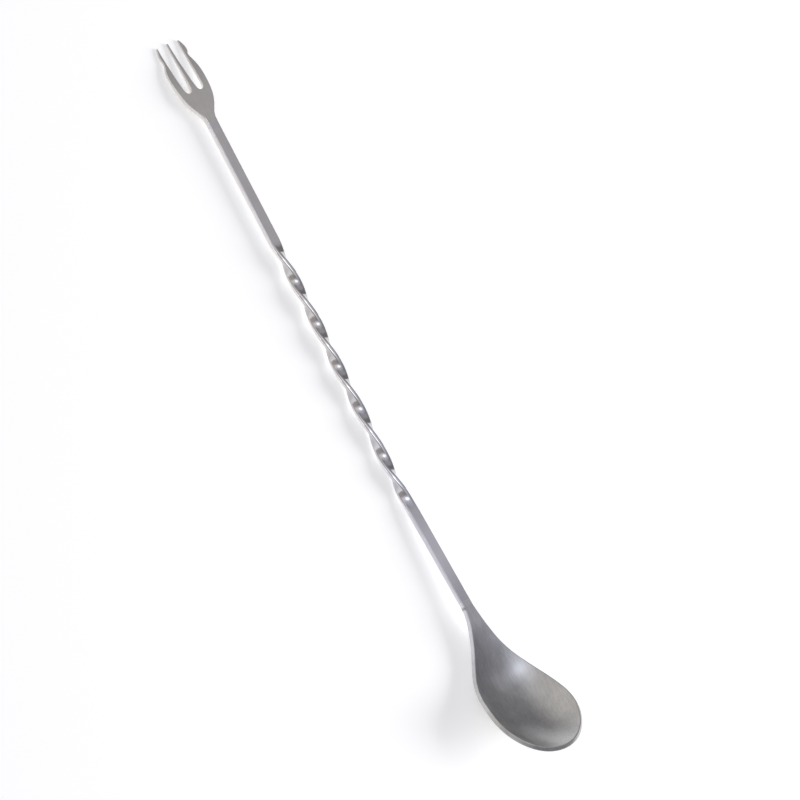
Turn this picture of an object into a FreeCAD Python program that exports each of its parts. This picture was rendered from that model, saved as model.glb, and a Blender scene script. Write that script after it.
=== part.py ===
import FreeCAD, Part
import math
import os

V = FreeCAD.Vector

# Bar spoon: a flat stainless bar, twisted over its middle, with a three-tined
# garnish fork butt-welded to one end and an egg-shaped spoon bowl to the other.
# Both welds are ground flush.  Millimetres.  +X runs from the fork to the bowl,
# +Y is sideways and +Z is up: the spoon lies on a table on the three tine tips
# and the belly of the bowl, with the hollow of the bowl facing up.

# ---------------------------------------------------------------- dimensions
BAR_W = 4.0            # width of the flat bar
BAR_T = 2.0            # thickness of the flat bar
BAR_R = 0.50           # corner radius of the drawn bar
TWIST_R = 0.90         # corner radius where the bar is twisted, nearly full round
TWIST_R_RUN = 6.0      # length over which one radius passes into the other

X_FORK_WELD = 30.6     # middle of the fork weld, from the tine tips
X_TWIST_0 = 72.8       # flat handle ends, twist begins
X_TWIST_1 = 174.6      # twist ends, flat neck begins
Z_TWIST_1 = -0.805      # height of the bar's middle where the twist ends
X_BOWL = 209.1          # start of the bowl piece's flare
X_BOWL_WELD = 208.1     # middle of the bowl weld
NECK_SLOPE = 3.6       # degrees, neck rises towards the bowl

WELD_FACE = 2.0        # width of a weld at the two wide faces
WELD_ROOT = 0.8        # width of a weld at mid thickness

# the twist: left-handed, three full turns; (x, turned angle in degrees)
TWIST = [(72.8, 0.0), (80.6, -57.0), (96.0, -237.0), (112.0, -417.0),
         (127.1, -597.0), (143.6, -777.0), (160.4, -957.0), (174.6, -1080.0)]
TWIST_STEP = 12.0      # degrees between sections
# a hand-twisted bar is never quite straight: its middle sags and bows sideways a little
SAG = [(72.8, 0.0), (84.0, 0.03), (97.5, -0.04), (112.0, -0.24), (127.1, -0.55),
       (143.6, -0.76), (155.0, -0.92), (163.0, -0.99), (174.6, -0.805)]
BOW = [(72.8, 0.0), (84.0, 0.08), (97.5, 0.05), (112.0, -0.10), (127.1, -0.28),
       (143.6, -0.33), (155.0, -0.47), (163.0, -0.40), (174.6, 0.0)]

# each half of the fork's outline, (x from the tine tips, distance from the middle): from the
# weld round the shoulder, the barbed outer tine, the slot and the middle tine.  The barb on
# the left tine (-Y) is ground slimmer than the one on the right tine
FORK_RIGHT = [(29.6, 2), (28.9, 2.044), (28.2, 2.072), (27.5, 2.18), (26.9, 2.354), (26.2, 2.65), (25.5, 3.03),
              (24.9, 3.38), (24.2, 3.77), (23.4, 4.19), (22.5, 4.65), (21.5, 5.07), (20.5, 5.41), (19.5, 5.67),
              (18.5, 5.87), (17.5, 6.02), (16.2, 6.18), (14.85, 6.31), (13.2, 6.4), (11.6, 6.4), (10.3, 6.31),
              (9.2, 6.15), (8.3, 5.96), (7.65, 5.79), (7, 5.6), (6.4, 5.4), (5.895, 5.24), (5.423, 5.16),
              (5.055, 5.16), (4.761, 5.25), (4.53, 5.4), (4.268, 5.57), (3.848, 5.68), (3.27, 5.73), (2.64, 5.7),
              (2.043, 5.59), (1.491, 5.39), (0.798, 5.107), (0.287, 4.867), (-0.137, 4.598), (-0.353, 4.417),
              (-0.339, 4.29), (-0.042, 4.223), (1.168, 4.186), (2.64, 4.13), (6.1, 4.05), (8.74, 4), (12, 3.93),
              (14, 3.82), (15.6, 3.699), (16.65, 3.592), (17.25, 3.37), (17.68, 2.95), (17.84, 2.4),
              (17.7, 1.86), (17.3, 1.46), (16.7, 1.212), (15.3, 0.985), (14, 0.86), (12, 0.76), (8.7, 0.63),
              (6.1, 0.52), (4.005, 0.43), (2.64, 0.37), (1.168, 0.31), (0.287, 0.294), (-0.244, 0.266),
              (-0.531, 0.143), (-0.601, 0)]
FORK_LEFT = [(29.6, 2), (28.9, 2.05), (28.2, 2.12), (27.5, 2.27), (26.9, 2.48), (26.2, 2.8), (25.5, 3.18),
             (24.9, 3.53), (24.2, 3.92), (23.4, 4.34), (22.5, 4.8), (21.5, 5.22), (20.5, 5.56), (19.5, 5.82),
             (18.5, 6.02), (17.5, 6.17), (16.2, 6.33), (14.85, 6.46), (13.2, 6.55), (11.6, 6.55), (10.3, 6.46),
             (9.2, 6.3), (8.3, 6.1), (7.6, 5.84), (7, 5.58), (6.4, 5.36), (5.895, 5.21), (5.423, 5.12),
             (5.002, 5.09), (4.635, 5.11), (4.215, 5.17), (3.795, 5.21), (3.27, 5.22), (2.64, 5.18),
             (2.043, 5.1), (1.468, 4.97), (0.798, 4.77), (0.287, 4.61), (-0.137, 4.46), (-0.339, 4.34),
             (-0.313, 4.255), (0.024, 4.22), (1.168, 4.235), (2.64, 4.225), (6.1, 4.17), (8.74, 4.12),
             (12, 4.05), (14, 3.94), (15.6, 3.755), (16.65, 3.606), (17.25, 3.37), (17.68, 2.95), (17.84, 2.4),
             (17.7, 1.86), (17.3, 1.46), (16.7, 1.212), (15.3, 0.985), (14, 0.86), (12, 0.76), (8.7, 0.63),
             (6.1, 0.52), (4.005, 0.43), (2.64, 0.37), (1.168, 0.31), (0.287, 0.294), (-0.244, 0.266),
             (-0.531, 0.143), (-0.601, 0)]
# fork side view: (x, top, bottom)
FORK_SIDE = [(-1, -1.98, -2.74), (2.8, -1.66, -2.5), (8.7, -0.9, -1.92),
             (13, -0.28, -1.46), (16.6, 0.2, -1.14), (20.5, 0.6, -1)]
FORK_FLAT_X = 25.5     # from here on the head is as thick as the bar

# bowl: distances from X_BOWL; (x, height of the rim, half width squared)
BOWL = [(-6, 1.81, 4), (-3, 2, 4), (0, 2.19, 4.05), (3, 2.262, 5.43),
        (6, 2.125, 8.19), (9, 1.807, 13.04), (12, 1.41, 20.49), (15, 1.08, 32.4),
        (18, 0.89, 50.45), (21, 0.98, 74.94), (24, 1.46, 105.11), (27, 2.39, 136),
        (30, 3.75, 164.43), (33, 5.35, 186.89), (36, 6.97, 204.24), (39, 8.47, 215.69),
        (42, 9.81, 213.61), (45, 11, 195.37), (48, 12.08, 161.38), (51, 13.09, 114.19),
        (54, 14.07, 53.05), (57, 15.05, -24), (60, 16.03, -120), (63, 17.01, -235)]
DISH = 0.035           # dish of the bowl: depth is DISH times half width squared
SHEET_T = 1.55         # thickness of the bowl's sheet
EDGE_R = 0.30          # rounding of the bowl's rim


# ---------------------------------------------------------------- helpers
def spline(points, d0=None, d1=None):
    """Cubic spline through (x, y) points; returns f(x) -> (value, slope)."""
    xs = [float(p[0]) for p in points]
    ys = [float(p[1]) for p in points]
    n = len(xs)
    h = [xs[i + 1] - xs[i] for i in range(n - 1)]
    a = [0.0] * n
    b = [1.0] * n
    c = [0.0] * n
    r = [0.0] * n
    for i in range(1, n - 1):
        a[i], b[i], c[i] = h[i - 1], 2 * (h[i - 1] + h[i]), h[i]
        r[i] = 6 * ((ys[i + 1] - ys[i]) / h[i] - (ys[i] - ys[i - 1]) / h[i - 1])
    if d0 is not None:
        b[0], c[0] = 2 * h[0], h[0]
        r[0] = 6 * ((ys[1] - ys[0]) / h[0] - d0)
    if d1 is not None:
        a[-1], b[-1] = h[-1], 2 * h[-1]
        r[-1] = 6 * (d1 - (ys[-1] - ys[-2]) / h[-1])
    for i in range(1, n):
        w = a[i] / b[i - 1]
        b[i] -= w * c[i - 1]
        r[i] -= w * r[i - 1]
    m = [0.0] * n
    m[-1] = r[-1] / b[-1]
    for i in range(n - 2, -1, -1):
        m[i] = (r[i] - c[i] * m[i + 1]) / b[i]

    def f(x):
        i = 0
        while i < n - 2 and x > xs[i + 1]:
            i += 1
        t0, t1 = xs[i + 1] - x, x - xs[i]
        v = (m[i] * t0 ** 3 + m[i + 1] * t1 ** 3) / (6 * h[i]) \
            + (ys[i] / h[i] - m[i] * h[i] / 6) * t0 + (ys[i + 1] / h[i] - m[i + 1] * h[i] / 6) * t1
        d = (-m[i] * t0 ** 2 + m[i + 1] * t1 ** 2) / (2 * h[i]) \
            - (ys[i] / h[i] - m[i] * h[i] / 6) + (ys[i + 1] / h[i] - m[i + 1] * h[i] / 6)
        return v, d
    return f


def smooth(t):
    t = max(0.0, min(1.0, t))
    return t * t * t * (t * (6 * t - 15) + 10)


def curve(points):
    c = Part.BSplineCurve()
    c.interpolate([V(*p) for p in points])
    return c.toShape()


def line(p, q):
    return Part.makeLine(V(*p), V(*q))


def bar_section(origin, tangent, angle, r=BAR_R):
    """Rounded-rectangle wire of the bar, turned by angle about its length."""
    t = V(tangent).normalize()
    en = t.cross(V(0, 1, 0)).normalize()
    ey = en.cross(t)
    ca, sa = math.cos(math.radians(angle)), math.sin(math.radians(angle))
    u = ey * ca + en * sa
    v = en * ca - ey * sa
    a, b = BAR_W / 2, BAR_T / 2
    k = r * (1 - math.sqrt(0.5))

    def P(x, y):
        return origin + u * x + v * y
    e = []
    for sx, sy in ((1, 1), (-1, 1), (-1, -1), (1, -1)):
        p0, p1 = (sx * a, sy * (b - r)), (sx * (a - r), sy * b)
        mid = (sx * (a - k), sy * (b - k))
        if sx * sy < 0:
            p0, p1 = p1, p0
        e.append((P(*p0), P(*mid), P(*p1)))
    edges = []
    for i in range(4):
        p0, m, p1 = e[i]
        edges.append(Part.Arc(p0, m, p1).toShape())
        edges.append(Part.makeLine(p1, e[(i + 1) % 4][0]))
    return Part.Wire(edges)


def weld_zone(cx, cz, slope):
    """Hourglass prism that the weld metal fills, square across the bar."""
    h = BAR_T / 2 + 1.0
    f = WELD_ROOT / 2 + (WELD_FACE - WELD_ROOT) / 2 * h / (BAR_T / 2)
    r = WELD_ROOT / 2
    pts = [(-f, -6, h), (f, -6, h), (r, -6, 0), (f, -6, -h), (-f, -6, -h), (-r, -6, 0), (-f, -6, h)]
    face = Part.Face(Part.makePolygon([V(*p) for p in pts]))
    s = face.extrude(V(0, 12, 0))
    s.rotate(V(0, 0, 0), V(0, 1, 0), -slope)
    s.translate(V(cx, 0, cz))
    return s


def piece_at(shape, point):
    """The solid of a compound that is nearest to a point."""
    probe = Part.Vertex(V(*point))
    return min(shape.Solids, key=lambda s: s.distToShape(probe)[0])


# ---------------------------------------------------------------- stem
slope = math.tan(math.radians(NECK_SLOPE))
neck_dir = V(math.cos(math.radians(NECK_SLOPE)), 0, math.sin(math.radians(NECK_SLOPE)))


def neck_z(x):
    return Z_TWIST_1 + (x - X_TWIST_1) * slope


handle = Part.Face(bar_section(V(X_FORK_WELD, 0, 0), V(1, 0, 0), 0)).extrude(V(X_TWIST_0 - X_FORK_WELD, 0, 0))
neck_len = (X_BOWL_WELD - X_TWIST_1) / neck_dir.x
neck = Part.Face(bar_section(V(X_TWIST_1, 0, Z_TWIST_1), neck_dir, 0)).extrude(neck_dir * neck_len)

sag = spline(SAG, 0.0, slope)
bow = spline(BOW, 0.0, 0.0)
turn = spline(TWIST, 0.0, 0.0)
stations = []
x = X_TWIST_0
last = 0.0
stations.append(x)
while x < X_TWIST_1 - 0.02:
    x2 = x
    while x2 < X_TWIST_1 and abs(turn(x2)[0] - turn(x)[0]) < TWIST_STEP and x2 - x < 1.4:
        x2 += 0.02
    x = min(x2, X_TWIST_1)
    stations.append(x)
if stations[-1] - stations[-2] < 0.5:
    del stations[-2]
stations[-1] = X_TWIST_1
wires = []
for x in stations:
    z, dz = sag(x)
    y, dy = bow(x)
    into = min(x - X_TWIST_0, X_TWIST_1 - x) / TWIST_R_RUN
    wires.append(bar_section(V(x, y, z), V(1, dy, dz), turn(x)[0], BAR_R + (TWIST_R - BAR_R) * smooth(into)))
twist = Part.makeLoft(wires, True, False)
if twist.Volume < 0:
    twist.reverse()
stem_blank = handle.fuse([twist, neck])
stem_blank = piece_at(stem_blank, (100, 0, 0)) if len(stem_blank.Solids) > 1 else stem_blank.Solids[0]

# ---------------------------------------------------------------- fork
x_end = X_FORK_WELD + 0.4
e_right = curve([(x, y, 0.0) for x, y in [(x_end, BAR_W / 2)] + FORK_RIGHT])
e_left = curve([(x, -y, 0.0) for x, y in [(x_end, BAR_W / 2)] + FORK_LEFT])
e_close = line((x_end, BAR_W / 2, 0.0), (x_end, -BAR_W / 2, 0.0))
outline = Part.Face(Part.Wire(Part.__sortEdges__([e_right, e_left, e_close])))
outline.translate(V(0, 0, -8))
head = outline.extrude(V(0, 0, 16))

top = [(p[0], -9.0, p[1]) for p in FORK_SIDE]
bot = [(p[0], -9.0, p[2]) for p in FORK_SIDE]
t_end, b_end = BAR_T / 2, -BAR_T / 2
top += [(23.2, -9.0, t_end - 0.13), (FORK_FLAT_X, -9.0, t_end - 0.01), (FORK_FLAT_X + 1.5, -9.0, t_end)]
bot += [(23.2, -9.0, b_end), (FORK_FLAT_X, -9.0, b_end), (FORK_FLAT_X + 1.5, -9.0, b_end)]
e_top, e_bot = curve(top), curve(bot)
side = Part.Wire([
    e_top,
    line(top[-1], (X_FORK_WELD + 4, -9.0, t_end)),
    line((X_FORK_WELD + 4, -9.0, t_end), (X_FORK_WELD + 4, -9.0, b_end)),
    line((X_FORK_WELD + 4, -9.0, b_end), bot[-1]),
    e_bot,
    line(bot[0], top[0]),
])
side_solid = Part.Face(side).extrude(V(0, 18, 0))
fork_blank = head.common(side_solid).Solids[0]

# ---------------------------------------------------------------- bowl
rim = spline([(b[0], b[1]) for b in BOWL], slope)
plan = spline([(b[0], b[2]) for b in BOWL])


def dish(x):
    """Dish factor grows from the flat neck into the bowl."""
    s = smooth((x + 0.5) / 15.0)
    d = DISH * s
    e = 1e-4
    return d, DISH * (smooth((x + 0.5 + e) / 15.0) - smooth((x + 0.5 - e) / 15.0)) / (2 * e)


def thick(x):
    return BAR_T + (SHEET_T - BAR_T) * smooth(x / 18.0)


def bowl_point(x, y):
    """Point of the bowl's upper skin and its upward normal."""
    zr, dzr = rim(x)
    s, ds = plan(x)
    c, dc = dish(x)
    z = zr - c * (s - y * y)
    zx = dzr - c * ds - dc * (s - y * y)
    zy = 2 * c * y
    n = V(-zx, -zy, 1.0).normalize()
    return V(x, y, z), n


def tip_x():
    lo, hi = 54.0, 58.0
    for _ in range(60):
        m = (lo + hi) / 2
        if plan(m)[0] > 0:
            lo = m
        else:
            hi = m
    return lo


X_TIP = tip_x()
GX0, GX1, GNX, GY, GNY = -3.0, X_TIP + 4.5, 46, 17.5, 15
top_rows, bot_rows = [], []
for i in range(GNX):
    x = GX0 + (GX1 - GX0) * i / (GNX - 1)
    tr, br = [], []
    for j in range(GNY):
        y = -GY + 2 * GY * j / (GNY - 1)
        p, n = bowl_point(x, y)
        tr.append(p)
        br.append(p - n * thick(x))
    top_rows.append(tr)
    bot_rows.append(br)
s_top, s_bot = Part.BSplineSurface(), Part.BSplineSurface()
s_top.interpolate(top_rows)
s_bot.interpolate(bot_rows)


def border(surf):
    u0, u1, v0, v1 = surf.bounds()
    return [surf.vIso(v0).toShape(), surf.uIso(u1).toShape(), surf.vIso(v1).toShape(), surf.uIso(u0).toShape()]


faces = [s_top.toShape(), s_bot.toShape()]
for ea, eb in zip(border(s_top), border(s_bot)):
    faces.append(Part.makeRuledSurface(ea, eb))
shell = Part.makeShell(faces)
shell.sewShape()
slab = Part.makeSolid(shell)
if slab.Volume < 0:
    slab.reverse()

# the rim is cut square to the sheet, all the way round from the neck to the tip
EXT = 0.9
wall_a, wall_b = [], []
N_WALL = 46
params = [-1.0 + 2.0 * i / (2 * N_WALL) for i in range(2 * N_WALL + 1)]
for q in params:
    s = 1.0 if q < 0 else -1.0
    k = 1 - abs(q)                       # 0 at the neck, 1 at the tip
    x = (GX0 - 0.3) + (X_TIP - GX0 + 0.3) * (1 - (1 - k) ** 2)
    w = math.sqrt(max(plan(x)[0], 0.0)) if k < 1 else 0.0
    p, n = bowl_point(x, s * w)
    wall_a.append(p + n * EXT)
    wall_b.append(p - n * (thick(x) + EXT))


def spline_edge(points):
    c = Part.BSplineCurve()
    par = [0.0]
    for a, b in zip(points[:-1], points[1:]):
        par.append(par[-1] + 1.0)
    c.interpolate(Points=points, Parameters=par)
    return c.toShape()


wall = Part.makeRuledSurface(spline_edge(wall_a), spline_edge(wall_b))
pieces, _ = slab.generalFuse([wall])
bowl_blank = piece_at(pieces, (38.0, 0.0, bowl_point(38.0, 0.0)[0].z - 0.7))

z_weld = neck_z(X_BOWL_WELD)
bowl_blank = bowl_blank.copy()
bowl_blank.translate(V(X_BOWL, 0, neck_z(X_BOWL) + BAR_T / 2 / neck_dir.x - rim(0)[0]))


def try_fillet(shape, radius, edges, label):
    for r in (radius, radius * 0.7, radius * 0.5):
        try:
            f = shape.makeFillet(r, edges)
            if f.isValid() and f.Volume > 0.5 * shape.Volume:
                print(label, "edge radius", round(r, 3))
                return f.Solids[0]
        except Exception:
            pass
    print(label, "edges left sharp")
    return shape


near = Part.makeBox(200, 60, 60, V(X_BOWL_WELD - 200, -30, -30))
bowl_blank = piece_at(bowl_blank.cut([near]), (X_BOWL + 38, 0, 0))
rim_edges = [e for e in bowl_blank.Edges if e.BoundBox.XLength > 20]
bowl_blank = try_fillet(bowl_blank, EDGE_R, rim_edges, "bowl")

# ---------------------------------------------------------------- welds and cuts
zone_f = weld_zone(X_FORK_WELD, 0, 0)
zone_b = weld_zone(X_BOWL_WELD, z_weld, NECK_SLOPE)
bar_f = Part.Face(bar_section(V(X_FORK_WELD - 3, 0, 0), V(1, 0, 0), 0)).extrude(V(6, 0, 0))
bar_b = Part.Face(bar_section(V(X_BOWL_WELD, 0, z_weld) - neck_dir * 3, neck_dir, 0)).extrude(neck_dir * 6)

fork_weld = bar_f.common(zone_f).Solids[0]
bowl_weld = bar_b.common(zone_b).Solids[0]

stem = stem_blank.cut([zone_f, zone_b])
twisted_stem = piece_at(stem, (100, 0, 0))

far = Part.makeBox(200, 40, 40, V(X_FORK_WELD, -20, -20))
fork_head = piece_at(fork_blank.cut([zone_f, far]), (20, 0, 0))
spoon_bowl = piece_at(bowl_blank.cut([zone_b]), (X_BOWL + 38, 0, 0))

nodes = {
    "fork_head": fork_head,
    "fork_weld": fork_weld,
    "twisted_stem": twisted_stem,
    "bowl_weld": bowl_weld,
    "spoon_bowl": spoon_bowl,
}

# ---------------------------------------------------------------- place on the table
# Tilt about Y until the tine tips and the belly of the bowl are level, then move
# the origin to the middle of the underside.
tilt = 0.0
for _ in range(6):
    fk, bw = nodes["fork_head"].copy(), nodes["spoon_bowl"].copy()
    for s in (fk, bw):
        s.rotate(V(0, 0, 0), V(0, 1, 0), tilt)
    zf = fk.optimalBoundingBox(False, False).ZMin
    zb = bw.optimalBoundingBox(False, False).ZMin
    if abs(zf - zb) < 1e-4:
        break
    tilt += math.degrees(math.atan2(zb - zf, 235.0))
for s in nodes.values():
    s.rotate(V(0, 0, 0), V(0, 1, 0), tilt)
box = Part.makeCompound(list(nodes.values())).optimalBoundingBox(False, False)
shift = V(-(box.XMin + box.XMax) / 2, -(box.YMin + box.YMax) / 2, -box.ZMin)
for s in nodes.values():
    s.translate(shift)
print("tilt", round(tilt, 4), "shift", [round(c, 4) for c in shift])
print("overall", round(box.XLength, 2), round(box.YLength, 2), round(box.ZLength, 2))

os.makedirs("parts", exist_ok=True)
for name, s in nodes.items():
    print(name, s.ShapeType, "valid", s.isValid(), "solids", len(s.Solids), "faces", len(s.Faces),
          "volume", round(s.Volume, 2), "z", round(s.BoundBox.ZMin, 3), round(s.BoundBox.ZMax, 3))
    s.exportStep("parts/" + name + ".step")
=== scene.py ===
import bmesh
import bpy
import math
import numpy as np
from mathutils import Matrix, Vector
from mathutils.geometry import delaunay_2d_cdt


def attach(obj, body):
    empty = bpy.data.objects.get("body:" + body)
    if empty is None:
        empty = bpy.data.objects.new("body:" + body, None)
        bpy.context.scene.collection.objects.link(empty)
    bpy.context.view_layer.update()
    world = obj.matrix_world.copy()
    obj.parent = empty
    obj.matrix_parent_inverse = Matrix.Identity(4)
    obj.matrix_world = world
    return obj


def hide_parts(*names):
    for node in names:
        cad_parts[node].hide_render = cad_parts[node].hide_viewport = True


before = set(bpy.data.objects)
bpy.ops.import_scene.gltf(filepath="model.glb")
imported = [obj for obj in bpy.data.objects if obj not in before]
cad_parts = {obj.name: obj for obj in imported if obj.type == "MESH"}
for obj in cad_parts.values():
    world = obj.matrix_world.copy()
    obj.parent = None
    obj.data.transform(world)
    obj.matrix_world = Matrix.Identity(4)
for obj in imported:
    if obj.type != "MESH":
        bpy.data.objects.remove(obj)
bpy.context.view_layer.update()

MM = 0.001

# ------------------------------------------------------------------ the design's own dimensions (mm)
BAR_W, BAR_T, BAR_R, TWIST_R, TWIST_R_RUN = 4.0, 2.0, 0.50, 0.90, 6.0
X_FORK_WELD, X_TWIST_0, X_TWIST_1, X_BOWL_WELD = 30.6, 72.8, 174.6, 208.1
X_BOWL = 209.1
Z_TWIST_1, NECK_SLOPE = -0.805, math.radians(3.6)
WELD_FACE, WELD_ROOT = 2.0, 0.8
TWIST = [(72.8, 0.0), (80.6, -57.0), (96.0, -237.0), (112.0, -417.0),
         (127.1, -597.0), (143.6, -777.0), (160.4, -957.0), (174.6, -1080.0)]
SAG = [(72.8, 0.0), (84.0, 0.03), (97.5, -0.04), (112.0, -0.24), (127.1, -0.55),
       (143.6, -0.76), (155.0, -0.92), (163.0, -0.99), (174.6, -0.805)]
BOW = [(72.8, 0.0), (84.0, 0.08), (97.5, 0.05), (112.0, -0.10), (127.1, -0.28),
       (143.6, -0.33), (155.0, -0.47), (163.0, -0.40), (174.6, 0.0)]
# each half of the fork's outline, from the weld round the barbed tine, the slot and the middle tine
FORK_RIGHT = [(29.6, 2), (28.9, 2.044), (28.2, 2.072), (27.5, 2.18), (26.9, 2.354), (26.2, 2.65), (25.5, 3.03),
              (24.9, 3.38), (24.2, 3.77), (23.4, 4.19), (22.5, 4.65), (21.5, 5.07), (20.5, 5.41), (19.5, 5.67),
              (18.5, 5.87), (17.5, 6.02), (16.2, 6.18), (14.85, 6.31), (13.2, 6.4), (11.6, 6.4), (10.3, 6.31),
              (9.2, 6.15), (8.3, 5.96), (7.65, 5.79), (7, 5.6), (6.4, 5.4), (5.895, 5.24), (5.423, 5.16),
              (5.055, 5.16), (4.761, 5.25), (4.53, 5.4), (4.268, 5.57), (3.848, 5.68), (3.27, 5.73), (2.64, 5.7),
              (2.043, 5.59), (1.491, 5.39), (0.798, 5.107), (0.287, 4.867), (-0.137, 4.598), (-0.353, 4.417),
              (-0.339, 4.29), (-0.042, 4.223), (1.168, 4.186), (2.64, 4.13), (6.1, 4.05), (8.74, 4), (12, 3.93),
              (14, 3.82), (15.6, 3.699), (16.65, 3.592), (17.25, 3.37), (17.68, 2.95), (17.84, 2.4),
              (17.7, 1.86), (17.3, 1.46), (16.7, 1.212), (15.3, 0.985), (14, 0.86), (12, 0.76), (8.7, 0.63),
              (6.1, 0.52), (4.005, 0.43), (2.64, 0.37), (1.168, 0.31), (0.287, 0.294), (-0.244, 0.266),
              (-0.531, 0.143), (-0.601, 0)]
FORK_LEFT = [(29.6, 2), (28.9, 2.05), (28.2, 2.12), (27.5, 2.27), (26.9, 2.48), (26.2, 2.8), (25.5, 3.18),
             (24.9, 3.53), (24.2, 3.92), (23.4, 4.34), (22.5, 4.8), (21.5, 5.22), (20.5, 5.56), (19.5, 5.82),
             (18.5, 6.02), (17.5, 6.17), (16.2, 6.33), (14.85, 6.46), (13.2, 6.55), (11.6, 6.55), (10.3, 6.46),
             (9.2, 6.3), (8.3, 6.1), (7.6, 5.84), (7, 5.58), (6.4, 5.36), (5.895, 5.21), (5.423, 5.12),
             (5.002, 5.09), (4.635, 5.11), (4.215, 5.17), (3.795, 5.21), (3.27, 5.22), (2.64, 5.18),
             (2.043, 5.1), (1.468, 4.97), (0.798, 4.77), (0.287, 4.61), (-0.137, 4.46), (-0.339, 4.34),
             (-0.313, 4.255), (0.024, 4.22), (1.168, 4.235), (2.64, 4.225), (6.1, 4.17), (8.74, 4.12),
             (12, 4.05), (14, 3.94), (15.6, 3.755), (16.65, 3.606), (17.25, 3.37), (17.68, 2.95), (17.84, 2.4),
             (17.7, 1.86), (17.3, 1.46), (16.7, 1.212), (15.3, 0.985), (14, 0.86), (12, 0.76), (8.7, 0.63),
             (6.1, 0.52), (4.005, 0.43), (2.64, 0.37), (1.168, 0.31), (0.287, 0.294), (-0.244, 0.266),
             (-0.531, 0.143), (-0.601, 0)]
FORK_SIDE = [(-1, -1.98, -2.74), (2.8, -1.66, -2.5), (8.7, -0.9, -1.92),
             (13, -0.28, -1.46), (16.6, 0.2, -1.14), (20.5, 0.6, -1),
             (23.2, 0.87, -1), (25.5, 0.99, -1), (27, 1, -1)]
BOWL = [(-6, 1.81, 4), (-3, 2, 4), (0, 2.19, 4.05), (3, 2.262, 5.43),
        (6, 2.125, 8.19), (9, 1.807, 13.04), (12, 1.41, 20.49), (15, 1.08, 32.4),
        (18, 0.89, 50.45), (21, 0.98, 74.94), (24, 1.46, 105.11), (27, 2.39, 136),
        (30, 3.75, 164.43), (33, 5.35, 186.89), (36, 6.97, 204.24), (39, 8.47, 215.69),
        (42, 9.81, 213.61), (45, 11, 195.37), (48, 12.08, 161.38), (51, 13.09, 114.19),
        (54, 14.07, 53.05), (57, 15.05, -24), (60, 16.03, -120), (63, 17.01, -235)]
DISH, SHEET_T = 0.035, 1.55
TILT, SHIFT = math.radians(-0.2501), (-132.8370, 0.0, 2.7248)


# ------------------------------------------------------------------ helpers
class Spline:
    """Cubic spline with optional end slopes, the same as the design's."""

    def __init__(self, pts, d0=None, d1=None):
        self.x = np.array([p[0] for p in pts], float)
        self.y = np.array([p[1] for p in pts], float)
        x, y, n = self.x, self.y, len(pts)
        h = np.diff(x)
        A, r = np.zeros((n, n)), np.zeros(n)
        A[0, 0] = A[-1, -1] = 1.0
        for i in range(1, n - 1):
            A[i, i - 1:i + 2] = h[i - 1], 2 * (h[i - 1] + h[i]), h[i]
            r[i] = 6 * ((y[i + 1] - y[i]) / h[i] - (y[i] - y[i - 1]) / h[i - 1])
        if d0 is not None:
            A[0, 0], A[0, 1] = 2 * h[0], h[0]
            r[0] = 6 * ((y[1] - y[0]) / h[0] - d0)
        if d1 is not None:
            A[-1, -1], A[-1, -2] = 2 * h[-1], h[-1]
            r[-1] = 6 * (d1 - (y[-1] - y[-2]) / h[-1])
        self.m, self.h = np.linalg.solve(A, r), h

    def __call__(self, q, d=False):
        q = np.asarray(q, float)
        i = np.clip(np.searchsorted(self.x, q, side="left") - 1, 0, len(self.x) - 2)
        h, m0, m1 = self.h[i], self.m[i], self.m[i + 1]
        t0, t1 = self.x[i + 1] - q, q - self.x[i]
        a, b = self.y[i] / h - m0 * h / 6, self.y[i + 1] / h - m1 * h / 6
        if d:
            return (-m0 * t0 ** 2 + m1 * t1 ** 2) / (2 * h) - a + b
        return (m0 * t0 ** 3 + m1 * t1 ** 3) / (6 * h) + a * t0 + b * t1


def place(p):
    """Design millimetres (handle level) to the frame's metres (spoon lying on its table)."""
    p = np.asarray(p, float)
    ca, sa = math.cos(TILT), math.sin(TILT)
    x = p[..., 0] * ca + p[..., 2] * sa + SHIFT[0]
    y = p[..., 1] + SHIFT[1]
    z = -p[..., 0] * sa + p[..., 2] * ca + SHIFT[2]
    return np.stack([x, y, z], -1) * MM


def unit(v):
    return v / (np.linalg.norm(v, axis=-1, keepdims=True) + 1e-12)


def smooth5(t):
    t = np.clip(t, 0, 1)
    return t ** 3 * (t * (6 * t - 15) + 10)


def make_object(name, verts, faces, normals=None, grain=None, tone_and_painted_light=None):
    me = bpy.data.meshes.new(name)
    me.from_pydata([tuple(v) for v in place(verts)], [], faces)
    me.validate()
    bm = bmesh.new()
    bm.from_mesh(me)
    bmesh.ops.recalc_face_normals(bm, faces=bm.faces[:])
    bm.to_mesh(me)
    bm.free()
    me.update()
    if grain is not None:
        at = me.attributes.new("grain", "FLOAT_VECTOR", "POINT")
        at.data.foreach_set("vector", np.asarray(grain, np.float32).ravel())
    # per-vertex tone; on the bar it holds painted sheen and painted shade
    if tone_and_painted_light is not None:
        at = me.attributes.new("tone_and_painted_light", "FLOAT", "POINT")
        at.data.foreach_set("value", np.asarray(tone_and_painted_light, np.float32))
    me.polygons.foreach_set("use_smooth", [True] * len(me.polygons))
    if normals is not None:
        ca, sa = math.cos(TILT), math.sin(TILT)
        n = np.asarray(normals, float)
        n = np.stack([n[:, 0] * ca + n[:, 2] * sa, n[:, 1], -n[:, 0] * sa + n[:, 2] * ca], -1)
        me.normals_split_custom_set_from_vertices([tuple(v) for v in unit(n)])
    ob = bpy.data.objects.new(name, me)
    bpy.context.scene.collection.objects.link(ob)
    return ob


# ------------------------------------------------------------------ bar geometry
slope = math.tan(NECK_SLOPE)
sag = Spline(SAG, 0.0, slope)
bow = Spline(BOW, 0.0, 0.0)
turn = Spline(TWIST, 0.0, 0.0)
neck_dir = np.array([math.cos(NECK_SLOPE), 0.0, math.sin(NECK_SLOPE)])


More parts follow.
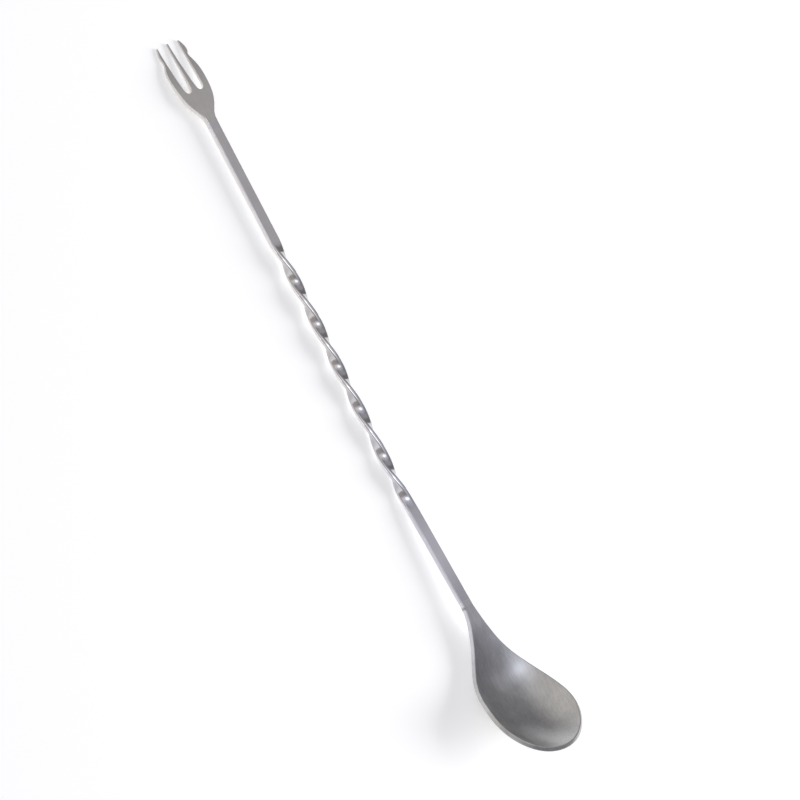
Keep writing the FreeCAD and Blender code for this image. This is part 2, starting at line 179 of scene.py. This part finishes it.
def bar_axis(x):
    """Middle of the bar, its direction and its turned angle (radians) at x."""
    if x <= X_TWIST_0:
        return np.array([x, 0.0, 0.0]), np.array([1.0, 0, 0]), 0.0
    if x >= X_TWIST_1:
        return np.array([x, 0.0, Z_TWIST_1 + (x - X_TWIST_1) * slope]), neck_dir, 0.0
    t = np.array([1.0, float(bow(x, True)), float(sag(x, True))])
    return np.array([x, float(bow(x)), float(sag(x))]), unit(t), math.radians(float(turn(x)))


def section(r=BAR_R, w=BAR_W, t=BAR_T, nw=11, nt=6, na=8):
    """Rounded rectangle: points (u, v), outward normals, distance round it."""
    a, b = w / 2, t / 2
    pts, nrm = [], []

    def side(p0, p1, n, k):
        for i in range(k):
            f = i / k
            pts.append((p0[0] + (p1[0] - p0[0]) * f, p0[1] + (p1[1] - p0[1]) * f))
            nrm.append(n)

    def arc(cx, cy, a0):
        for i in range(na):
            g = a0 + math.pi / 2 * i / na
            pts.append((cx + r * math.cos(g), cy + r * math.sin(g)))
            nrm.append((math.cos(g), math.sin(g)))
    side((a, -(b - r)), (a, b - r), (1, 0), nt)
    arc(a - r, b - r, 0)
    side((a - r, b), (-(a - r), b), (0, 1), nw)
    arc(-(a - r), b - r, math.pi / 2)
    side((-a, b - r), (-a, -(b - r)), (-1, 0), nt)
    arc(-(a - r), -(b - r), math.pi)
    side((-(a - r), -b), (a - r, -b), (0, -1), nw)
    arc(a - r, -(b - r), 1.5 * math.pi)
    pts, nrm = np.array(pts), np.array(nrm)
    seg = np.linalg.norm(np.roll(pts, -1, 0) - pts, axis=1)
    return pts, nrm, np.r_[0, np.cumsum(seg)[:-1]]


SEC_P, SEC_N, SEC_L = section()
NSEC = len(SEC_P)


def stem_section(x):
    """The bar's section at x; its corners are rounder on the twist."""
    into = min(x - X_TWIST_0, X_TWIST_1 - x) / TWIST_R_RUN
    return section(BAR_R + (TWIST_R - BAR_R) * float(smooth5(into)))[:2]


def frame_at(x):
    o, t, th = bar_axis(x)
    en = unit(np.cross(t, [0, 1, 0]))
    ey = np.cross(en, t)
    u = ey * math.cos(th) + en * math.sin(th)
    v = en * math.cos(th) - ey * math.sin(th)
    return o, t, u, v


def weld_offset(v):
    """Half width of the weld at height v from the middle of the bar."""
    return WELD_ROOT / 2 + (WELD_FACE - WELD_ROOT) / 2 * np.abs(v) / (BAR_T / 2)


class Body:
    """Collects vertices, faces, shading normals, grain coordinates and tone of one piece; on the bar the tone is
    painted sheen and shade.
    """

    def __init__(self, tone=None):
        self.v, self.f, self.n, self.g, self.t, self.tone = [], [], [], [], [], tone

    def add(self, p, n, g, tone=None):
        k = len(self.v)
        p = np.atleast_2d(p)
        if tone is None:
            tone = self.tone(p) if self.tone else 1.0
        self.v.extend(p)
        self.n.extend(np.atleast_2d(n))
        self.g.extend(np.atleast_2d(g))
        self.t.extend(np.broadcast_to(tone, len(p)))
        return list(range(k, len(self.v)))

    def cap(self, upper, lower, centre, t, u, half_w, sign):
        """Two bevel faces of a weld preparation between the chains over and under the middle line."""
        k = len(upper) - 1
        mid = [upper[0]]
        for i in range(1, k):
            p = centre + u * half_w * (1 - 2 * i / k) + t * sign * WELD_ROOT / 2
            mid += self.add(p, t * -sign, (0, 0, 0))
        mid.append(upper[-1])
        for row, flip in ((upper, False), (lower, True)):
            for i in range(k):
                q = [row[i], row[i + 1], mid[i + 1], mid[i]]
                q = [a for j, a in enumerate(q) if a not in q[:j]]
                if len(q) >= 3:
                    self.f.append(tuple(q[::-1] if flip else q))

    def build(self, name):
        return make_object(name, np.array(self.v), self.f, np.array(self.n), np.array(self.g), np.array(self.t))


def bar_painted_sheen_and_shade(x, N):
    """How bright the bar is at x, on the wide faces and on the narrow ones: painted shade and a painted highlight
    band on the wide faces, painted sheen and painted shade on the narrow ones.
    """
    wide, side = np.abs(N[:, 1]) ** 2, np.abs(N[:, 0]) ** 2
    twist = smooth5((x - X_TWIST_0) / 6.0) * smooth5((X_TWIST_1 - x) / 6.0)
    neck = smooth5((x - X_TWIST_1 + 4.0) / 8.0)
    handle = 1.0 - smooth5((x - X_TWIST_0) / 6.0)
    # wide faces: painted shade on the twist, a painted highlight band on the neck round x=187, painted shade on the
    # neck beyond x=194
    top = 1.0 - 0.25 * twist + neck * (0.15 * np.exp(-((x - 187.0) / 11.0) ** 2) - 0.12 * smooth5((x - 194.0) / 14.0))
    # narrow faces: painted sheen on the twist and the handle, painted shade on the neck
    narrow_painted_sheen_and_shade = 1.0 + 0.10 * twist + 0.10 * handle - 0.15 * neck
    return wide * top + side * narrow_painted_sheen_and_shade


def bar_body(xs, end0=0, end1=0, shape=None):
    """A length of bar.  end0/end1: side of the weld (+1 the bar lies beyond it, -1 before it)."""
    b = Body()
    rings = []
    n = len(xs)
    for k, x in enumerate(xs):
        o, t, u, v = frame_at(x)
        P, N = (SEC_P, SEC_N) if shape is None else shape(x)
        off = np.zeros(NSEC)
        if k == 0 and end0:
            o = frame_at(xs[0])[0]
            off = end0 * weld_offset(P[:, 1])
        if k == n - 1 and end1:
            off = end1 * weld_offset(P[:, 1])
        pts = o + P[:, :1] * u + P[:, 1:] * v + off[:, None] * t
        rate = math.radians(float(turn(x, True))) if X_TWIST_0 < x < X_TWIST_1 else 0.0
        lean = -rate * (P[:, 0] * N[:, 1] - P[:, 1] * N[:, 0])
        nn = N[:, :1] * u + N[:, 1:] * v + lean[:, None] * t
        g = np.stack([x + off, SEC_L, np.zeros(NSEC)], 1)
        rings.append(b.add(pts, nn, g, bar_painted_sheen_and_shade(x + off, N)))
    for p, q in zip(rings[:-1], rings[1:]):
        for i in range(NSEC):
            j = (i + 1) % NSEC
            b.f.append((p[i], p[j], q[j], q[i]))
    half, st = NSEC // 2, 3
    for k, sign in ((0, end0), (n - 1, end1)):
        if sign:
            r = rings[k]
            o, t, u, v = frame_at(xs[k])
            up = [r[(st + i) % NSEC] for i in range(half + 1)]
            lo = [r[(st - i) % NSEC] for i in range(half + 1)]
            b.cap(up, lo, o, t, u, BAR_W / 2, sign)
    return b


# ------------------------------------------------------------------ plates (fork and bowl)
def resample(pts, step):
    pts = np.asarray(pts, float)
    s = np.r_[0, np.cumsum(np.linalg.norm(np.diff(pts, axis=0), axis=1))]
    n = int(round(s[-1] / step))
    q = np.linspace(0, s[-1], n + 1)
    return np.stack([np.interp(q, s, pts[:, i]) for i in range(pts.shape[1])], 1)


def catmull(pts, k=24):
    """Centripetal Catmull-Rom curve through the points."""
    p = np.asarray(pts, float)
    p = np.vstack([2 * p[0] - p[1], p, 2 * p[-1] - p[-2]])
    out = []
    for i in range(1, len(p) - 2):
        p0, p1, p2, p3 = p[i - 1:i + 3]
        t0 = 0.0
        t1 = t0 + np.linalg.norm(p1 - p0) ** 0.5
        t2 = t1 + np.linalg.norm(p2 - p1) ** 0.5
        t3 = t2 + np.linalg.norm(p3 - p2) ** 0.5
        for t in np.linspace(t1, t2, k, endpoint=False):
            a1 = p0 * (t1 - t) / (t1 - t0) + p1 * (t - t0) / (t1 - t0)
            a2 = p1 * (t2 - t) / (t2 - t1) + p2 * (t - t1) / (t2 - t1)
            a3 = p2 * (t3 - t) / (t3 - t2) + p3 * (t - t2) / (t3 - t2)
            b1 = a1 * (t2 - t) / (t2 - t0) + a2 * (t - t0) / (t2 - t0)
            b2 = a2 * (t3 - t) / (t3 - t1) + a3 * (t - t1) / (t3 - t1)
            out.append(b1 * (t2 - t) / (t2 - t1) + b2 * (t - t1) / (t2 - t1))
    out.append(p[-2])
    return np.array(out)


def inside(poly, q):
    x, y = q[:, 0][:, None], q[:, 1][:, None]
    x0, y0 = poly[:, 0][None], poly[:, 1][None]
    x1, y1 = np.roll(poly[:, 0], -1)[None], np.roll(poly[:, 1], -1)[None]
    c = ((y0 > y) != (y1 > y)) & (x < (x1 - x0) * (y - y0) / (y1 - y0 + 1e-30) + x0)
    return (c.sum(1) % 2) == 1


def far_from(poly, q, d):
    keep = np.ones(len(q), bool)
    a = poly
    ab = np.roll(poly, -1, 0) - a
    for k in range(0, len(q), 2000):
        w = q[k:k + 2000][:, None] - a[None]
        t = np.clip((w * ab[None]).sum(2) / ((ab ** 2).sum(1)[None] + 1e-12), 0, 1)
        r = w - t[..., None] * ab[None]
        keep[k:k + 2000] = np.sqrt((r ** 2).sum(2)).min(1) > d
    return keep


def plate(outline, top, bottom, radius, h, weld_x, end_sign, grain_fn, na=5, ne=6, guard=0.05, tone=None):
    """Closed plate: rounded rim round the outline, filled upper and lower skins, bevelled neck end."""
    b = Body(tone)
    n = len(outline)
    T, nT = top(outline)
    B, nB = bottom(outline)
    tau = np.gradient(T, axis=0)
    taub = np.gradient(B, axis=0)
    tau[0] = tau[-1] = 0
    tau[0], tau[-1] = (1, 0, 0), (-1, 0, 0)
    if end_sign < 0:
        tau[0], tau[-1] = (-1, 0, 0), (1, 0, 0)
    taub[0], taub[-1] = tau[0], tau[-1]
    side = 1.0 if end_sign > 0 else -1.0
    a = unit(np.cross(tau, nT)) * side
    bb = unit(np.cross(taub, -nB)) * side
    e = unit(B - T)
    r = radius[:, None]
    # upper and lower support loops, in the plan of the upper skin
    q = (T + a * (r + guard))[:, :2].copy()
    if True:
        q[0, 0], q[-1, 0] = outline[0, 0], outline[-1, 0]
    loops, norms = [], []
    Ts, nTs = top(q)
    Bs, nBs = bottom(q)
    loops.append(Ts); norms.append(nTs)
    for k in range(na + 1):
        al = math.pi / 2 * k / na
        loops.append(T + a * r + e * r - e * r * math.cos(al) - a * r * math.sin(al))
        norms.append(-(e * math.cos(al) + a * math.sin(al)))
    C0, C1 = T + e * r, B - e * r
    for k in range(1, ne):
        loops.append(C0 + (C1 - C0) * k / ne)
        norms.append(-a)
    for k in range(na + 1):
        al = math.pi / 2 * (1 - k / na)
        loops.append(B + bb * r - e * r + e * r * math.cos(al) - bb * r * math.sin(al))
        norms.append(e * math.cos(al) - bb * math.sin(al))
    loops.append(Bs); norms.append(nBs)
    m = len(loops)
    mid_k = 1 + na + ne // 2
    # move the neck end's points onto the two bevels of the weld preparation
    o, t, u, v = frame_at(weld_x)
    for L in loops:
        for i in (0, n - 1):
            d = L[i] - o
            along, up = float(d @ t), float(d @ v)
            L[i] = L[i] + t * (end_sign * float(weld_offset(min(abs(up), BAR_T / 2))) - along)
    loops = np.array(loops)
    mo = loops[mid_k, [0, n - 1]] - o
    for j, i in enumerate((0, n - 1)):
        loops[mid_k, i] -= v * float(mo[j] @ v)
    ids = [b.add(loops[k], unit(np.array(norms[k])), grain_fn(loops[k])) for k in range(m)]
    for k in range(m - 1):
        for i in range(n - 1):
            b.f.append((ids[k][i], ids[k + 1][i], ids[k + 1][i + 1], ids[k][i + 1]))
    # skins share one triangulation in plan
    nl = 8
    line = np.array([q[-1] + (q[0] - q[-1]) * i / nl for i in range(1, nl)])
    poly = np.vstack([q, line])
    lo, hi = poly.min(0), poly.max(0)
    gx = np.arange(lo[0], hi[0] + h, h * 0.8660254)
    pts = []
    for i, x in enumerate(gx):
        y = np.arange(lo[1] - h, hi[1] + h, h) + (h / 2 if i % 2 else 0)
        y = y - (y[np.argmin(abs(y))] if i % 2 == 0 else 0)
        pts.append(np.stack([np.full_like(y, x), y], 1))
    pts = np.vstack(pts)
    pts = pts[inside(poly, pts)]
    pts = pts[far_from(poly, pts, h * 0.5)]
    allp = np.vstack([poly, pts])
    edges = [(i, (i + 1) % len(poly)) for i in range(len(poly))]
    res = delaunay_2d_cdt([Vector((float(p[0]), float(p[1]))) for p in allp], edges, [], 1, 1e-7, True)
    vs, orig = res[0], res[3]
    mids = np.array([[sum(vs[i].x for i in f) / 3, sum(vs[i].y for i in f) / 3] for f in res[2]])
    fs = [f for f, ok in zip(res[2], inside(poly, mids)) if ok]
    for skin, rim_ids, fn, flip in (("top", ids[0], top, False), ("bottom", ids[-1], bottom, True)):
        lut = {}
        new = []
        for i, p in enumerate(vs):
            src = orig[i][0] if orig[i] else None
            if src is not None and src < n:
                lut[i] = rim_ids[src]
            else:
                new.append((i, (p.x, p.y), src))
        Q = np.array([p for _, p, _ in new])
        P, N = fn(Q)
        for j, (_, _, src) in enumerate(new):
            if src is not None and n <= src < len(poly):
                d = P[j] - o
                P[j] = P[j] + t * (end_sign * WELD_FACE / 2 - float(d @ t))
        got = b.add(P, N, grain_fn(P))
        for j, (i, _, src) in enumerate(new):
            lut[i] = got[j]
        for f in fs:
            w = tuple(lut[i] for i in f)
            b.f.append(w[::-1] if flip else w)
        inv = {}
        for i in range(len(vs)):
            if orig[i]:
                for s_ in orig[i]:
                    inv[s_] = lut[i]
        chain = [inv[n + j] for j in range(nl - 1)]           # from the last outline point to the first
        if skin == "top":
            top_chain = chain
        else:
            bot_chain = chain
    # bevelled neck end
    first = [ids[k][0] for k in range(m)]
    last = [ids[k][n - 1] for k in range(m)]
    upper = last[mid_k::-1] + top_chain + first[:mid_k + 1]
    lower = last[mid_k:] + bot_chain + first[mid_k:][::-1]
    L0 = np.array(b.v[upper[0]])
    uu = unit(L0 - o - t * float((L0 - o) @ t))
    if len(upper) == len(lower):
        b.cap(upper, lower, o, t, uu, BAR_W / 2, end_sign)
    return b


# fork skins
f_top = Spline([(p[0], p[1]) for p in FORK_SIDE], None, 0.0)
f_bot = Spline([(p[0], p[2]) for p in FORK_SIDE], None, 0.0)


def fork_skin(fn, sign):
    def f(q):
        q = np.atleast_2d(np.asarray(q, float))
        x = np.minimum(q[:, 0], 27.0)
        z, d = fn(x), np.where(q[:, 0] < 27.0, fn(x, True), 0.0)
        nrm = unit(np.stack([-d, np.zeros_like(d), np.ones_like(d)], 1)) * sign
        return np.stack([q[:, 0], q[:, 1], z], 1), nrm
    return f


# bowl skins
b_rim = Spline([(p[0], p[1]) for p in BOWL], slope)
b_plan = Spline([(p[0], p[2]) for p in BOWL])
Z_BOWL = Z_TWIST_1 + (X_BOWL - X_TWIST_1) * slope + BAR_T / 2 / math.cos(NECK_SLOPE) - float(b_rim(0.0))


def bowl_top(q):
    q = np.atleast_2d(np.asarray(q, float))
    x, y = q[:, 0] - X_BOWL, q[:, 1]
    s = smooth5((x + 0.5) / 15.0)
    ds = (smooth5((x + 0.501) / 15.0) - smooth5((x + 0.499) / 15.0)) / 0.002
    c, dc = DISH * s, DISH * ds
    S, dS = b_plan(x), b_plan(x, True)
    z = b_rim(x) - c * (S - y * y)
    zx = b_rim(x, True) - c * dS - dc * (S - y * y)
    zy = 2 * c * y
    n = unit(np.stack([-zx, -zy, np.ones_like(zx)], 1))
    return np.stack([q[:, 0], y, z + Z_BOWL], 1), n


def bowl_bottom(q):
    q = np.atleast_2d(np.asarray(q, float))
    p, n = bowl_top(q)
    t = BAR_T + (SHEET_T - BAR_T) * smooth5((q[:, 0] - X_BOWL) / 18.0)
    return p - n * t[:, None], -n


# ------------------------------------------------------------------ build the pieces
def fork_tone(p):
    """The tines are a little darker than the palm, alike on both sides."""
    return 1.0 - 0.12 * (1.0 - smooth5((p[:, 0] - 6.0) / 12.0))


def ramp(x, x0, y0, x1, y1):
    return y0 + (y1 - y0) * smooth5((x - x0) / (x1 - x0))


def plain_grain(p):
    return np.stack([p[:, 0], p[:, 1], p[:, 2]], 1)


outline = np.vstack([catmull(FORK_RIGHT), (catmull(FORK_LEFT) * [1, -1])[::-1][1:]])
outline = resample(outline, 0.16)
# the neck end lies at the larger x: travel starts there towards the tips on the +Y side
rad = ramp(outline[:, 0], 0.3, 0.07, 8.0, 0.19)
rad = np.where(outline[:, 0] > 22, ramp(outline[:, 0], 22, 0.19, 29.0, BAR_R), rad)
fork = plate(outline, fork_skin(f_top, 1), fork_skin(f_bot, -1), rad, 0.42, X_FORK_WELD, -1, plain_grain, guard=0.03,
             tone=fork_tone)
fork_ob = fork.build("garnish_fork")

x_end = X_BOWL_WELD + 1.0 * math.cos(NECK_SLOPE) - BAR_T / 2 * math.sin(NECK_SLOPE)
lo_, hi_ = 54.0, 58.0
for _ in range(60):
    mid_ = (lo_ + hi_) / 2
    if float(b_plan(mid_)) > 0:
        lo_ = mid_
    else:
        hi_ = mid_
X_TIP = lo_
k = np.linspace(0, 1, 1200)
xs = (x_end - X_BOWL) + (X_TIP - x_end + X_BOWL) * (1 - (1 - k) ** 2)
ys = np.sqrt(np.maximum(b_plan(xs), 0.0))
ys[-1] = 0.0
right = np.stack([xs + X_BOWL, ys], 1)
outline = np.vstack([right, (right * [1, -1])[::-1][1:]])
outline = resample(outline, 0.34)
rad = ramp(outline[:, 0], x_end, BAR_R, x_end + 14.0, 0.28)


def bowl_tone(p):
    """The bowl is duller than the bar; it is brighter next to the weld, fading out over the shoulder, with a small
    dark pit beside the weld.
    """
    pit = (p[:, 0] - X_BOWL - 0.5) ** 2 + (p[:, 1] + 1.9) ** 2
    return 1.0 + 0.27 * (1.0 - smooth5((p[:, 0] - X_BOWL) / 24.0)) - 0.8 * np.exp(-pit / 0.16)


bowl = plate(outline, bowl_top, bowl_bottom, rad, 0.62, X_BOWL_WELD, 1, plain_grain, na=6, ne=8, guard=0.10,
             tone=bowl_tone)
bowl_ob = bowl.build("bowl")

xs = [X_FORK_WELD] + list(np.arange(X_FORK_WELD + 1.6, X_TWIST_0, 1.0)) + [X_TWIST_0]
x = X_TWIST_0
while x < X_TWIST_1:
    x += 0.30
    if x < X_TWIST_1 - 0.1:
        xs.append(x)
xs += [X_TWIST_1] + list(np.arange(X_TWIST_1 + 1.0, X_BOWL_WELD - 1.6, 1.0)) + [X_BOWL_WELD]
stem = bar_body(xs, 1, -1, stem_section)
stem_ob = stem.build("twisted_bar")


def weld_body(xc):
    b = Body()
    o, t, u, v = frame_at(xc)
    rings = []
    for k in range(9):
        s = -1 + 2 * k / 8
        off = s * weld_offset(SEC_P[:, 1])
        pts = o + SEC_P[:, :1] * u + SEC_P[:, 1:] * v + off[:, None] * t
        nn = SEC_N[:, :1] * u + SEC_N[:, 1:] * v
        rings.append(b.add(pts, nn, np.stack([xc + off, SEC_L, np.ones(NSEC)], 1)))
    for p, q in zip(rings[:-1], rings[1:]):
        for i in range(NSEC):
            j = (i + 1) % NSEC
            b.f.append((p[i], p[j], q[j], q[i]))
    hf, st = NSEC // 2, 3
    for r, sign in ((rings[0], -1), (rings[-1], 1)):
        b.cap([r[(st + i) % NSEC] for i in range(hf + 1)], [r[(st - i) % NSEC] for i in range(hf + 1)],
              o, t, u, BAR_W / 2, sign)
    return b


fweld_ob = weld_body(X_FORK_WELD).build("fork_joint")
bweld_ob = weld_body(X_BOWL_WELD).build("bowl_joint")


# ------------------------------------------------------------------ materials
def steel(name, base, rough, along, across, depth, tint=0.06, blotch=6.0, rough_var=0.08, fine=1.0, hue=None):
    """Brushed stainless steel.  The 'grain' attribute runs in millimetres along and across the brushing."""
    m = bpy.data.materials.new(name)
    m.use_nodes = True
    nt = m.node_tree
    N, L = nt.nodes, nt.links
    for n in list(N):
        N.remove(n)
    out = N.new("ShaderNodeOutputMaterial")
    bs = N.new("ShaderNodeBsdfPrincipled")
    L.new(bs.outputs[0], out.inputs[0])
    bs.inputs["Metallic"].default_value = 1.0
    at = N.new("ShaderNodeAttribute")
    at.attribute_name = "grain"

    def noise(sx, sy, sz, scale=1.0, detail=3.0, rough_=0.55):
        mp = N.new("ShaderNodeMapping")
        mp.inputs["Scale"].default_value = (sx, sy, sz)
        L.new(at.outputs["Vector"], mp.inputs["Vector"])
        nz = N.new("ShaderNodeTexNoise")
        nz.inputs["Scale"].default_value = scale
        nz.inputs["Detail"].default_value = detail
        nz.inputs["Roughness"].default_value = rough_
        L.new(mp.outputs[0], nz.inputs["Vector"])
        return nz.outputs["Fac"]

    def ramp_(src, lo, hi, a, b):
        r = N.new("ShaderNodeMapRange")
        r.inputs["From Min"].default_value = lo
        r.inputs["From Max"].default_value = hi
        r.inputs["To Min"].default_value = a
        r.inputs["To Max"].default_value = b
        L.new(src, r.inputs["Value"])
        return r.outputs[0]

    def math_(op, a, b):
        n = N.new("ShaderNodeMath")
        n.operation = op
        for i, v in enumerate((a, b)):
            if hasattr(v, "default_value"):
                L.new(v, n.inputs[i])
            else:
                n.inputs[i].default_value = v
        return n.outputs[0]

    streak = noise(along, across, across, 1.0, 4.0, 0.6)          # long brushing lines
    fine_ = noise(along * 2.5, across * 3.1, across * 3.1, 1.0, 3.0, 0.7)
    spots = noise(1.0, 1.0, 1.0, 1.0 / blotch, 3.0, 0.5)          # broad polishing variation
    grain = math_("ADD", math_("MULTIPLY", streak, 0.6), math_("MULTIPLY", fine_, 0.4))
    shade = math_("ADD", ramp_(grain, 0.35, 0.65, 1.0 - tint, 1.0 + tint), ramp_(spots, 0.3, 0.7, -tint * 0.7, tint * 0.7))
    col = N.new("ShaderNodeVectorMath")
    col.operation = "SCALE"
    col.inputs[0].default_value = base
    if hue:                                     # the colour drifts from base to another between two x
        other, x0, x1 = hue
        sx = N.new("ShaderNodeSeparateXYZ")
        L.new(at.outputs["Vector"], sx.inputs[0])
        mx = N.new("ShaderNodeMix")
        mx.data_type = "VECTOR"
        L.new(ramp_(sx.outputs["X"], x0, x1, 0.0, 1.0), mx.inputs["Factor"])
        for i_, c_ in ((4, base), (5, other)):
            mx.inputs[i_].default_value = c_
        L.new(mx.outputs[1], col.inputs[0])
    # the per-vertex tone scales the colour; on the bar it is painted sheen and painted shade
    tone_light_attr = N.new("ShaderNodeAttribute")
    tone_light_attr.attribute_name = "tone_and_painted_light"
    L.new(math_("MULTIPLY", shade, tone_light_attr.outputs["Fac"]), col.inputs["Scale"])
    L.new(col.outputs[0], bs.inputs["Base Color"])
    rg = math_("ADD", ramp_(grain, 0.3, 0.7, rough - rough_var * 0.5, rough + rough_var * 0.5),
               ramp_(spots, 0.3, 0.7, -rough_var * 0.5, rough_var * 0.5))
    L.new(rg, bs.inputs["Roughness"])
    bp = N.new("ShaderNodeBump")
    bp.inputs["Strength"].default_value = fine
    bp.inputs["Distance"].default_value = depth * MM
    L.new(grain, bp.inputs["Height"])
    L.new(bp.outputs[0], bs.inputs["Normal"])
    return m


M_STEM = steel("drawn_bar_steel", (0.805, 0.78, 0.775), 0.17, 0.05, 3.2, 0.002, hue=((0.815, 0.805, 0.865), 110.0, 185.0))
M_FORK = steel("ground_fork_steel", (0.85, 0.815, 0.78), 0.30, 0.08, 3.6, 0.003)
M_BOWL = steel("satin_bowl_steel", (0.605, 0.60, 0.625), 0.36, 0.06, 1.3, 0.001, tint=0.11, hue=((0.61, 0.605, 0.60), 222.0, 244.0))
M_WELD = steel("ground_weld_steel", (0.80, 0.785, 0.80), 0.30, 0.5, 3.0, 0.003)

for ob, mat, node, slot in ((fork_ob, M_FORK, "fork_head", "fork_steel"), (stem_ob, M_STEM, "twisted_stem", "stem_steel"),
                            (bowl_ob, M_BOWL, "spoon_bowl", "bowl_steel"), (fweld_ob, M_WELD, "fork_weld", "weld_steel"),
                            (bweld_ob, M_WELD, "bowl_weld", "weld_steel")):
    ob.data.materials.append(mat)
    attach(ob, "root")
    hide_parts(node)

# ------------------------------------------------------------------ light levels
FLOOR_GLOW, KEY = 0.39, 10.5
# (axis, cosine where it starts, cosine where it is full, level, colour)
LOBES = [((0, 0, 1), -1.2, -1.1, 0.22, (0.985, 0.975, 1.03)),             # all round
         ((-0.55, -0.83, 0.05), 0.25, 0.90, 0.42, (1.05, 1.0, 0.91)),     # front left, warm
         ((-0.10, -0.91, 0.38), 0.88, 0.97, -0.22, (1.0, 1.0, 0.95)),     # dark gap low in front
         ((-0.13, 0.50, 0.86), 0.86, 0.98, 0.19, (0.99, 0.985, 1.02)),    # overhead
         ((-0.05, -0.34, 0.94), 0.76, 1.00, 0.42, (0.92, 0.97, 1.09)),    # front window, broad
         ((0.02, -0.43, 0.90), 0.968, 0.997, 1.40, (0.93, 0.97, 1.06))]   # front window, core

# ------------------------------------------------------------------ camera: the photograph's viewing angle
PHI, CX, PX_PER_MM, DIST = math.radians(33.0), 0.13, 3.07, 10.0
s_ = math.sqrt(1 - CX * CX)
cdir = np.array([CX, -math.sin(PHI) * s_, math.cos(PHI) * s_])
e1 = unit(np.array([1.0, 0, 0]) - CX * cdir)
e2 = np.cross(cdir, e1)
target = e1 * (137.83 - 0.20) + e2 * (12.71 - 0.22)
right_ = 0.463016 * e1 + 0.886350 * e2
up_ = -0.886350 * e1 + 0.463016 * e2


def turn_vec(v):
    return place(v) - place(np.zeros(3))


R_, U_, C_ = (unit(turn_vec(a)) for a in (right_, up_, cdir))
loc = place(target) + C_ * DIST
cam_data = bpy.data.cameras.new("camera")
cam_data.sensor_width = 36.0
cam_data.lens = PX_PER_MM * 1000.0 * 36.0 * DIST / 800.0
cam_data.clip_start, cam_data.clip_end = 0.1, 100.0
cam = bpy.data.objects.new("camera", cam_data)
bpy.context.scene.collection.objects.link(cam)
cam.matrix_world = Matrix(((R_[0], U_[0], C_[0], loc[0]), (R_[1], U_[1], C_[1], loc[1]),
                           (R_[2], U_[2], C_[2], loc[2]), (0, 0, 0, 1)))
bpy.context.scene.camera = cam

# ------------------------------------------------------------------ floor
bpy.ops.mesh.primitive_circle_add(vertices=96, radius=8.0, fill_type="NGON", location=(0, 0, 0))
floor = bpy.context.object
floor.name = "floor"
fm = bpy.data.materials.new("pale_floor")
fm.use_nodes = True
fb = fm.node_tree.nodes["Principled BSDF"]
fb.inputs["Base Color"].default_value = (0.80, 0.80, 0.805, 1)
fb.inputs["Roughness"].default_value = 0.95
fb.inputs["Specular IOR Level"].default_value = 0.1
fb.inputs["Emission Color"].default_value = (1, 1, 1, 1)
fb.inputs["Emission Strength"].default_value = FLOOR_GLOW
floor.data.materials.append(fm)


# ------------------------------------------------------------------ light
def area(name, direction, dist, size, radiance, color=(1, 1, 1), aim=(0, 0, 0)):
    """Square softbox seen in the given direction, with the given brightness."""
    d = bpy.data.lights.new(name, "AREA")
    d.shape = "SQUARE"
    d.size = size
    d.energy, d.color = radiance * math.pi * size * size, color
    o = bpy.data.objects.new(name, d)
    v = Vector(direction).normalized()
    o.location = Vector(aim) + v * dist
    o.rotation_mode = "QUATERNION"
    o.rotation_quaternion = (-v).to_track_quat("-Z", "Y")
    bpy.context.scene.collection.objects.link(o)
    return o


key = area("key", (0.46, 0.78, 0.40), 1.6, 0.9, KEY, (1.0, 0.995, 0.985))
key.visible_glossy = False

# soft surround, brighter on the -Y side and dim behind; the camera itself sees plain white
world = bpy.data.worlds.new("studio")
bpy.context.scene.world = world
world.use_nodes = True
wn, wl = world.node_tree.nodes, world.node_tree.links
for n in list(wn):
    wn.remove(n)


def wnode(kind, **kw):
    n = wn.new(kind)
    for k_, v_ in kw.items():
        setattr(n, k_, v_)
    return n


wtc = wnode("ShaderNodeTexCoord")


def lobe(axis, c0, c1, level, color):
    """Light that rises from nothing at cosine c0 to its full level at cosine c1 from an axis."""
    dp = wnode("ShaderNodeVectorMath", operation="DOT_PRODUCT")
    wl.new(wtc.outputs["Generated"], dp.inputs[0])
    dp.inputs[1].default_value = Vector(axis).normalized()
    mr = wnode("ShaderNodeMapRange", interpolation_type="SMOOTHERSTEP")
    for k_, v_ in (("From Min", c0), ("From Max", c1), ("To Min", 0.0), ("To Max", level)):
        mr.inputs[k_].default_value = v_
    wl.new(dp.outputs["Value"], mr.inputs["Value"])
    vm = wnode("ShaderNodeVectorMath", operation="SCALE")
    vm.inputs[0].default_value = color
    wl.new(mr.outputs[0], vm.inputs["Scale"])
    return vm.outputs[0]


total = None
for L_ in LOBES:
    o_ = lobe(*L_)
    if total is None:
        total = o_
    else:
        ad = wnode("ShaderNodeVectorMath", operation="ADD")
        wl.new(total, ad.inputs[0])
        wl.new(o_, ad.inputs[1])
        total = ad.outputs[0]
wout = wnode("ShaderNodeOutputWorld")
bg = wnode("ShaderNodeBackground")
wl.new(total, bg.inputs["Color"])
white = wnode("ShaderNodeBackground")
white.inputs["Color"].default_value = (1, 1, 1, 1)
white.inputs["Strength"].default_value = 1.05
lp = wnode("ShaderNodeLightPath")
mix = wnode("ShaderNodeMixShader")
wl.new(lp.outputs["Is Camera Ray"], mix.inputs[0])
wl.new(bg.outputs[0], mix.inputs[1])
wl.new(white.outputs[0], mix.inputs[2])
wl.new(mix.outputs[0], wout.inputs[0])

bpy.context.scene.view_settings.view_transform = "Standard"
